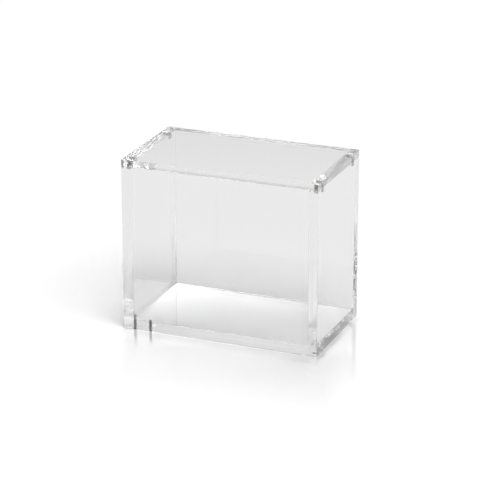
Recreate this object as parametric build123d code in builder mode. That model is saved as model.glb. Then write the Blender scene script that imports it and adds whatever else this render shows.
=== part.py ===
"""Clear acrylic storage box: a five-panel bonded body and a loose flat lid held by corner magnets.

Sizes are in millimetres. The origin is the centre of the footprint on the ground, +Z is up, +X runs
along the long front face to the right and the front face looks along -Y.
"""

import os

from build123d import *

os.makedirs("parts", exist_ok=True)

# Outside of the closed box
box_width = 156
box_depth = 88.4
box_height = 134.4

# Cast acrylic sheet
side_sheet = 7.5
long_sheet = 3  # front and back
base_sheet = 7.5
lid_sheet = 4.7

# Joints and edges
bond_line = 0.05  # clear adhesive between two panels
lid_rest_gap = 0.05  # air left where the lid's flat underside lies on the rim
edge_break = 0.15  # fine chamfer along the outer edges

# Disc magnets
magnet_diameter = 5
lid_magnet_height = 3
wall_magnet_height = 4
magnet_edge_break = 0.2
magnet_end_inset = 12  # from the front or back face to the magnet's axis
magnet_recess = 0.05  # each magnet ends this far inside its own panel's face
pocket_clearance = 0.05  # round the magnet
pocket_glue = 0.1  # adhesive behind the magnet

# Places worked out from the sizes above
rim_height = box_height - lid_sheet - lid_rest_gap
lid_underside = box_height - lid_sheet
between_sides = box_width - 2 * (side_sheet + bond_line)
between_walls = box_depth - 2 * (long_sheet + bond_line)
magnet_x = (box_width - side_sheet) / 2
magnet_y = box_depth / 2 - magnet_end_inset
pocket_radius = magnet_diameter / 2 + pocket_clearance

corners = {
    "front_left": (-magnet_x, -magnet_y),
    "front_right": (magnet_x, -magnet_y),
    "back_left": (-magnet_x, magnet_y),
    "back_right": (magnet_x, magnet_y),
}

# Side panels: thick sheet that runs the whole depth, so its edges show on the front and the back.
# Two blind pockets, centred in the thickness of the top edge, take the wall magnets.
for panel_name, side in {"left_panel": -1, "right_panel": 1}.items():
    outer_face = Plane.YZ.offset(side * box_width / 2)
    pocket_mouths = Plane.XY.offset(rim_height)
    with BuildPart() as side_panel:
        with BuildSketch(outer_face):
            with Locations((0, rim_height / 2)):
                Rectangle(box_depth, rim_height)
        extrude(amount=-side * side_sheet)
        outside = side_panel.faces().sort_by(Axis.X)[-1 if side > 0 else 0]
        end_edges = side_panel.edges().filter_by(Axis.X)
        chamfer(outside.edges() + end_edges, edge_break)
        with BuildSketch(pocket_mouths):
            with Locations((side * magnet_x, -magnet_y), (side * magnet_x, magnet_y)):
                Circle(pocket_radius)
        extrude(amount=-(wall_magnet_height + magnet_recess + pocket_glue), mode=Mode.SUBTRACT)
    side_panel.part.label = panel_name
    export_step(side_panel.part, f"parts/{panel_name}.step")

# Front and back panels: thin sheet bonded between the side panels, flush with their edges.
for panel_name, facing in {"front_panel": -1, "back_panel": 1}.items():
    outer_face = Plane.XZ.offset(-facing * box_depth / 2)
    with BuildPart() as long_panel:
        with BuildSketch(outer_face):
            with Locations((0, rim_height / 2)):
                Rectangle(between_sides, rim_height)
        extrude(amount=facing * long_sheet)
        outside = long_panel.faces().sort_by(Axis.Y)[0 if facing < 0 else -1]
        chamfer(outside.edges().filter_by(Axis.X), edge_break)
    long_panel.part.label = panel_name
    export_step(long_panel.part, f"parts/{panel_name}.step")

# Base panel: let in between the four walls and flush with their lower edges.
with BuildPart() as base_panel:
    with BuildSketch():
        Rectangle(between_sides, between_walls)
    extrude(amount=base_sheet)
base_panel.part.label = "base_panel"
export_step(base_panel.part, "parts/base_panel.step")

# Lid: one flat plate with the box's footprint and a blind pocket under each corner.
with BuildPart() as lid_panel:
    with BuildSketch(Plane.XY.offset(lid_underside)):
        Rectangle(box_width, box_depth)
    extrude(amount=lid_sheet)
    chamfer(lid_panel.edges(), edge_break)
    with BuildSketch(Plane.XY.offset(lid_underside)):
        with Locations(*corners.values()):
            Circle(pocket_radius)
    extrude(amount=lid_magnet_height + magnet_recess + pocket_glue, mode=Mode.SUBTRACT)
lid_panel.part.label = "lid_panel"
export_step(lid_panel.part, "parts/lid_panel.step")

# Magnets: plated discs with softened rims, one above the other at each corner.
magnet_rows = {
    "lid_magnet": (lid_underside + magnet_recess, lid_magnet_height),
    "wall_magnet": (rim_height - magnet_recess, -wall_magnet_height),
}
for row_name, (pole_face, height) in magnet_rows.items():
    for corner_name, corner in corners.items():
        with BuildPart() as magnet:
            with BuildSketch(Plane.XY.offset(pole_face)):
                with Locations(corner):
                    Circle(magnet_diameter / 2)
            extrude(amount=height)
            chamfer(magnet.edges().filter_by(GeomType.CIRCLE), magnet_edge_break)
        magnet.part.label = f"{row_name}_{corner_name}"
        export_step(magnet.part, f"parts/{row_name}_{corner_name}.step")
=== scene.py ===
"""Clear acrylic storage box with a flat lid held by corner magnets, in a plain pale studio.

Everything is in metres. The box stands on the floor at z = 0, with its long front face towards -y.
"""

import math

import bpy
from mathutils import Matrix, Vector


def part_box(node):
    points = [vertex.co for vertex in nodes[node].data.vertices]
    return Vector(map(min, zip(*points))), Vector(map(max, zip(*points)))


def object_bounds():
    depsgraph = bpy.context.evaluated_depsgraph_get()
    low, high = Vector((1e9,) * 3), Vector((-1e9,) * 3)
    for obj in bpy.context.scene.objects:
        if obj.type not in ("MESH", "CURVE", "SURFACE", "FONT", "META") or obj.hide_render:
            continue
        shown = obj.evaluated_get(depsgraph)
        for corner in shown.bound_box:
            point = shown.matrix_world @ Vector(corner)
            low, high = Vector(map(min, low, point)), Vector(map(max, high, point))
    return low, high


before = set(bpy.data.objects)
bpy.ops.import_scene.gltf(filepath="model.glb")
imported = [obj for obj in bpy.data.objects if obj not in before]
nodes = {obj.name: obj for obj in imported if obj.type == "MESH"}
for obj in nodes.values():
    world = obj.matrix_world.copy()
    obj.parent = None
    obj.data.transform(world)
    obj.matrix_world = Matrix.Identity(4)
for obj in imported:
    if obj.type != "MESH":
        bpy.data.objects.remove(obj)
cad_low, cad_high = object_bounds()
scene = bpy.context.scene

# Base panel: the floor of the box, a plate of clear cast acrylic let in between the four walls. Its
# sawn and polished edges are bonded to the walls with a clear adhesive of the acrylic's own index,
# so the joints all but vanish and light runs straight on from one panel to the next.


class Tap:
    """An output of a shader node. Arithmetic on taps adds the Math nodes that it needs."""

    def __init__(self, tree, socket=None):
        self.tree = tree
        self.socket = socket

    def node(self, kind, settings=None, inputs=None, output=0):
        made = self.tree.nodes.new(kind)
        for name, value in (settings or {}).items():
            setattr(made, name, value)
        for name, value in (inputs or {}).items():
            if isinstance(value, Tap):
                self.tree.links.new(value.socket, made.inputs[name])
            else:
                made.inputs[name].default_value = value
        return Tap(self.tree, made.outputs[output] if made.outputs else None)

    def other(self, output):
        return Tap(self.tree, self.socket.node.outputs[output])

    def maths(self, operation, *values):
        return self.node("ShaderNodeMath", {"operation": operation}, dict(enumerate(values)))

    def __add__(self, value):
        return self.maths("ADD", self, value)

    def __radd__(self, value):
        return self.maths("ADD", value, self)

    def __sub__(self, value):
        return self.maths("SUBTRACT", self, value)

    def __rsub__(self, value):
        return self.maths("SUBTRACT", value, self)

    def __mul__(self, value):
        return self.maths("MULTIPLY", self, value)

    def __rmul__(self, value):
        return self.maths("MULTIPLY", value, self)

    def __gt__(self, value):
        return self.maths("GREATER_THAN", self, value)

    def __lt__(self, value):
        return self.maths("LESS_THAN", self, value)

    def __or__(self, value):
        return self.maths("MAXIMUM", self, value)

    def __abs__(self):
        return self.maths("ABSOLUTE", self)


def new_material(name):
    material = bpy.data.materials.new(name)
    material.use_nodes = True
    material.node_tree.nodes.clear()
    return material, Tap(material.node_tree)


def noise(spot, scale, detail=2.0):
    return spot.node("ShaderNodeTexNoise", {}, {"Vector": spot, "Scale": scale, "Detail": detail})


def blend(factor, first, second):
    """Colour mix. Sockets 6 and 7 are its two colours and output 2 is its result."""
    sockets = {0: factor, 6: first, 7: second}
    return factor.node("ShaderNodeMix", {"data_type": "RGBA"}, sockets, output=2)


def bump(height):
    return height.node("ShaderNodeBump", {}, {"Strength": 1.0, "Distance": 1.0, "Height": height})


ACRYLIC_INDEX = 1.491
ACRYLIC_CLEAR = (0.989, 0.989, 0.989, 1)
ACRYLIC_EDGE = (0.957, 0.962, 0.962, 1)
CAST_WAVE = 0.0000012
CAST_SCALE = 25.0
SQUARE_ON = 0.9  # how nearly a face has to look along an axis

# saw cuts
SAW_PITCH = 0.0075
SAW_WANDER = 3.0
WANDER_SCALE = 60.0
POLISHED_DEPTH = 0.000002
SAWN_DEPTH = 0.00025
SAWN_TOP = 0.052
POLISH_HAZE = 0.25
HAZE_SCALE = 900.0

# joints, with the reach past the base's own edge that takes in the wall's face
JOINT_REACH = 0.001
JOINT_SLACK = 0.0001
BASE_HALF_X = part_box("base_panel")[1][0]
BASE_HALF_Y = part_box("base_panel")[1][1]
BASE_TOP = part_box("base_panel")[1][2]

# painted shade on unbonded spots: a share of each saw mark, and two traces, each at x and up to z
PAINTED_SHADE_SHARE = 0.5
PAINTED_SHADE_GREY = (0.12, 0.12, 0.12, 1)
PAINTED_SHADE_TRACES = ((-0.0694, 0.0115), (-0.0566, 0.009))
TRACE_WIDTH = 0.0022
TRACE_SCALE = 450.0

# magnet pockets
MAGNET_LOW, MAGNET_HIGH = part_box("wall_magnet_back_right")
MAGNET_X = (MAGNET_LOW[0] + MAGNET_HIGH[0]) / 2
MAGNET_Y = (MAGNET_LOW[1] + MAGNET_HIGH[1]) / 2
POCKET_REACH = 0.0026


def acrylic(name, through_axis, bonded):
    """Clear sheet whose thickness runs along through_axis. Its other faces are its sawn edges."""
    material, tree = new_material(name)
    spot = tree.node("ShaderNodeTexCoord").other("Object")
    place = tree.node("ShaderNodeSeparateXYZ", {}, {0: spot})
    facing = tree.node("ShaderNodeSeparateXYZ", {}, {0: spot.other("Normal")})
    x, y, z = (place.other(axis) for axis in "XYZ")
    square_to = {axis: abs(facing.other(axis)) > SQUARE_ON for axis in "XYZ"}
    edge = 1 - square_to[through_axis]
    low = z < BASE_TOP
    inside_x = abs(x) < BASE_HALF_X + JOINT_REACH
    inside_y = abs(y) < BASE_HALF_Y + JOINT_REACH

    # the saw cut: ripples across the edge at the pace of the feed, polished nearly flat, but left
    # coarse low on the right panel's back edge
    base_end = square_to["X"] * inside_x * (abs(y) < BASE_HALF_Y) * low
    sawn = (x > 0.0) * square_to["Y"] * (y > 0.0) * (z < SAWN_TOP) * edge
    first, second = (axis for axis in "XYZ" if axis != through_axis)
    run = place.other(first) * square_to[second] + place.other(second) * square_to[first]
    run = run + y * base_end * square_to[through_axis]
    wander = noise(spot, WANDER_SCALE, detail=1.0) * SAW_WANDER
    pace = run * (2 * math.pi / SAW_PITCH) + wander
    ripple = pace.maths("SINE", pace)
    cast = noise(spot, CAST_SCALE) * CAST_WAVE
    height = ripple * (edge * POLISHED_DEPTH | sawn * SAWN_DEPTH) + cast

    # painted shade: dark grey on saw marks across the base's right-hand end and on two dark traces
    # low at the left of the joint behind the front panel, where the joint is left unbonded too
    painted_shade_gaps = (x > 0.0) * base_end * (ripple > PAINTED_SHADE_SHARE)
    front_joint = square_to["Y"] * inside_y * (y < 0.0)
    trace_reach = noise(spot, TRACE_SCALE, detail=1.0) * TRACE_WIDTH
    for trace_x, trace_top in PAINTED_SHADE_TRACES:
        painted_shade_gaps = painted_shade_gaps | front_joint * (abs(x - trace_x) < trace_reach) * (z < trace_top)

    # adhesive in the magnets' pockets and in the panel joints carries the light straight on
    from_axis_x = abs(x) - MAGNET_X
    from_axis_y = abs(y) - MAGNET_Y
    filled = (from_axis_x * from_axis_x + from_axis_y * from_axis_y) < POCKET_REACH**2
    if bonded:
        end_joint = square_to["X"] * inside_x * (low | (abs(y) > BASE_HALF_Y - JOINT_SLACK))
        long_joint = square_to["Y"] * inside_y * low
        filled = filled | (end_joint | long_joint) * (1 - painted_shade_gaps)
    # the base colour is the painted shade grey on those spots, clear elsewhere and greyer on the
    # edges
    clear = tree.node(
        "ShaderNodeBsdfPrincipled",
        {},
        {
            "Base Color": blend(painted_shade_gaps, blend(edge, ACRYLIC_CLEAR, ACRYLIC_EDGE), PAINTED_SHADE_GREY),
            "Roughness": noise(spot, HAZE_SCALE) * edge * (1 - sawn) * POLISH_HAZE,
            "IOR": ACRYLIC_INDEX,
            "Alpha": 1 - filled,
            "Normal": bump(height),
            "Transmission Weight": 1.0,
        },
    )
    tree.node("ShaderNodeOutputMaterial", {}, {"Surface": clear})
    return material


def dress(node_name, material):
    mesh = nodes[node_name].data
    mesh.materials.clear()
    mesh.materials.append(material)


dress("base_panel", acrylic("base_sheet", "Z", True))

# Side panels: thick clear cast acrylic that runs the whole depth, so the front and back edges show.
# They are sawn to size and polished, and their top edges carry the wall magnets.
side_sheet = acrylic("side_sheet", "X", True)
dress("left_panel", side_sheet)
dress("right_panel", side_sheet)

# Front and back panels: thin clear cast acrylic, sawn to size, and bonded between the side panels
# and to the base's long edges.
long_sheet = acrylic("long_sheet", "Y", True)
dress("front_panel", long_sheet)
dress("back_panel", long_sheet)

# Wall magnets: small nickel-plated discs, pressed from magnet alloy and glued into blind pockets in
# the side panels' top edges. The plating is rubbed to an uneven shine.
NICKEL_WORN = (0.44, 0.435, 0.425, 1)
NICKEL_BRIGHT = (0.62, 0.61, 0.59, 1)
NICKEL_HAZE = 0.2
RUB_HAZE = 0.25
RUB_SCALE = 700.0
GRAIN_SCALE = 4000.0
GRAIN_DEPTH = 0.000004


def plating(name):
    material, tree = new_material(name)
    spot = tree.node("ShaderNodeTexCoord").other("Object")
    rub = noise(spot, RUB_SCALE, detail=4.0)
    metal = tree.node(
        "ShaderNodeBsdfPrincipled",
        {},
        {
            "Base Color": blend(rub, NICKEL_WORN, NICKEL_BRIGHT),
            "Metallic": 1.0,
            "Roughness": rub * RUB_HAZE + NICKEL_HAZE,
            "Normal": bump(noise(spot, GRAIN_SCALE) * GRAIN_DEPTH),
        },
    )
    tree.node("ShaderNodeOutputMaterial", {}, {"Surface": metal})
    return material


nickel = plating("nickel_plating")
corners = ("front_left", "front_right", "back_left", "back_right")
for corner in corners:
    dress(f"wall_magnet_{corner}", nickel)

# Lid: one flat plate of clear cast acrylic with the box's footprint. It lies loose on the rim, so a
# film of air stays between the two.
dress("lid_panel", acrylic("lid_sheet", "Z", False))

# Lid magnets: the wall magnets' partners, of the same plated discs, glued into blind pockets under
# the lid.
for corner in corners:
    dress(f"lid_magnet_{corner}", nickel)

# Floor: a plain pale studio floor, white to the camera where nothing shades it. In front of the box
# and beside it the floor is polished, and the polish fades out over a hand's breadth.
FLOOR_REACH = 4.0
FLOOR_DROP = 0.0001
FLOOR_GREY = 0.85
FLOOR_LIFT = 0.17
POLISH = 0.68
POLISH_END = 0.095
SIDE_FADE = 2.2  # how much faster the polish fades beside the box than in front of it
FLOOR_HAZE = 0.05
floor_mesh = bpy.data.meshes.new("studio_floor")
floor_mesh.from_pydata(
    [(x * FLOOR_REACH, y * FLOOR_REACH, 0) for x, y in ((-1, -1), (1, -1), (1, 1), (-1, 1))],
    [],
    [(0, 1, 2, 3)],
)
floor = bpy.data.objects.new("studio_floor", floor_mesh)
floor.location.z = -FLOOR_DROP
scene.collection.objects.link(floor)
floor_material, tree = new_material("studio_floor")
to_camera = tree.node("ShaderNodeLightPath").other("Is Camera Ray")
paper = tree.node("ShaderNodeBsdfDiffuse", {}, {"Color": (FLOOR_GREY, FLOOR_GREY, FLOOR_GREY, 1)})
lift = tree.node("ShaderNodeEmission", {}, {"Color": (1, 1, 1, 1), "Strength": FLOOR_LIFT})
lifted = tree.node("ShaderNodeAddShader", {}, {0: paper, 1: lift})
matt = tree.node("ShaderNodeMixShader", {}, {0: to_camera, 1: paper, 2: lifted})
gloss = tree.node("ShaderNodeBsdfGlossy", {}, {"Color": (1, 1, 1, 1), "Roughness": FLOOR_HAZE})
place = tree.node("ShaderNodeSeparateXYZ", {}, {0: tree.node("ShaderNodeTexCoord").other("Object")})
ahead = cad_low[1] - place.other("Y")
aside = (place.other("X") - cad_high[0]) * SIDE_FADE
clear_of_box = ahead | aside
fade_ends = {"From Min": 0.0, "From Max": POLISH_END, "To Min": POLISH, "To Max": 0.0}
fade = clear_of_box.node("ShaderNodeMapRange", {}, {"Value": clear_of_box, **fade_ends})
polished = (clear_of_box > 0.0) * (place.other("X") > cad_low[0]) * (place.other("Y") < cad_high[1])
coated = tree.node("ShaderNodeMixShader", {}, {0: fade * polished * to_camera, 1: matt, 2: gloss})
tree.node("ShaderNodeOutputMaterial", {}, {"Surface": coated})
floor_mesh.materials.append(floor_material)

# Room: light that comes through the acrylic finds a pale backdrop and a dim room behind the camera,
# and mirrored light a room that brightens upwards. Both are greyer than the plain white that the
# camera itself sees past the floor. Matt surfaces are lit by an even fill.
ROOM_FILL = 0.275
ROOM_DIM = 0.18
TURN_TO_DIM = 0.3
BACKDROP = (0.7, 0.76)
BACKDROP_RISE = (0.35, 0.42)
MIRRORED = (0.55, 0.9)
MIRRORED_RISE = (0.3, 0.34)
world = bpy.data.worlds.new("studio_room")
scene.world = world
world.use_nodes = True
world.cycles.sampling_method = "NONE"  # sampled as a lamp, it can't tell kinds of ray apart
world.node_tree.nodes.clear()
tree = Tap(world.node_tree)
ray = tree.node("ShaderNodeLightPath")
towards = tree.node("ShaderNodeSeparateXYZ", {}, {0: tree.node("ShaderNodeTexCoord")})


def ramp(value, span, levels):
    ends = {"From Min": span[0], "From Max": span[1], "To Min": levels[0], "To Max": levels[1]}
    smooth = {"interpolation_type": "SMOOTHSTEP"}
    return value.node("ShaderNodeMapRange", smooth, {"Value": value, **ends})


def choose(mask, otherwise, chosen):
    sockets = {"Factor": mask, "A": otherwise, "B": chosen}
    return mask.node("ShaderNodeMix", {"data_type": "FLOAT"}, sockets)


backdrop = ramp(towards.other("Z"), BACKDROP_RISE, BACKDROP)
through = ramp(towards.other("Y"), (-TURN_TO_DIM, TURN_TO_DIM), (ROOM_DIM, backdrop))
mirrored = ramp(towards.other("Z"), MIRRORED_RISE, MIRRORED)
shown = choose(ray.other("Is Transmission Ray"), mirrored, through)
lit = choose(ray.other("Diffuse Depth") > 0.5, shown, ROOM_FILL)
seen = choose(ray.other("Is Camera Ray"), lit, 1.0)
background = tree.node("ShaderNodeBackground", {}, {"Color": (1, 1, 1, 1), "Strength": seen})
tree.node("ShaderNodeOutputWorld", {}, {"Surface": background})


# Key: one large soft light, high to the right in front of the box. It lays the box's soft shadow on
# the floor to the left.
def way(azimuth, elevation):
    """Unit vector from the box, with the azimuth in degrees from the front towards the right."""
    turn, rise = math.radians(azimuth), math.radians(elevation)
    level = math.cos(rise)
    return Vector((math.sin(turn) * level, -math.cos(turn) * level, math.sin(rise)))


KEY_WAY = way(azimuth=52, elevation=60)
KEY_SPREAD = math.radians(32)
KEY_STRENGTH = 2.6
key = bpy.data.lights.new("soft_key", "SUN")
key.angle = KEY_SPREAD
key.energy = KEY_STRENGTH
key_lamp = bpy.data.objects.new("soft_key", key)
key_lamp.location = KEY_WAY
key_lamp.rotation_euler = (-KEY_WAY).to_track_quat("-Z", "Y").to_euler()
scene.collection.objects.link(key_lamp)

# Camera: a long lens a little to the right of the front and above the lid.
VIEW_WAY = way(azimuth=22.02, elevation=20.04)
VIEW_DISTANCE = 1.887
VIEW_TARGET = Vector((-0.00072, 0, 0.06655))
SENSOR_WIDTH = 36
LENS = 187.5
camera = bpy.data.objects.new("camera", bpy.data.cameras.new("camera"))
camera.data.sensor_width = SENSOR_WIDTH
camera.data.lens = LENS
camera.location = VIEW_TARGET + VIEW_WAY * VIEW_DISTANCE
camera.rotation_euler = (-VIEW_WAY).to_track_quat("-Z", "Y").to_euler()
scene.collection.objects.link(camera)
scene.camera = camera

# Light is followed all the way along the thin sheets, and the light that the sheets gather on the
# floor and in their edges is kept unsoftened and unclamped.
BOUNCES = 160
scene.view_settings.view_transform = "Standard"
scene.cycles.max_bounces = BOUNCES
scene.cycles.transmission_bounces = BOUNCES
scene.cycles.glossy_bounces = BOUNCES
scene.cycles.transparent_max_bounces = BOUNCES
scene.cycles.blur_glossy = 0.0
scene.cycles.sample_clamp_indirect = 0.0
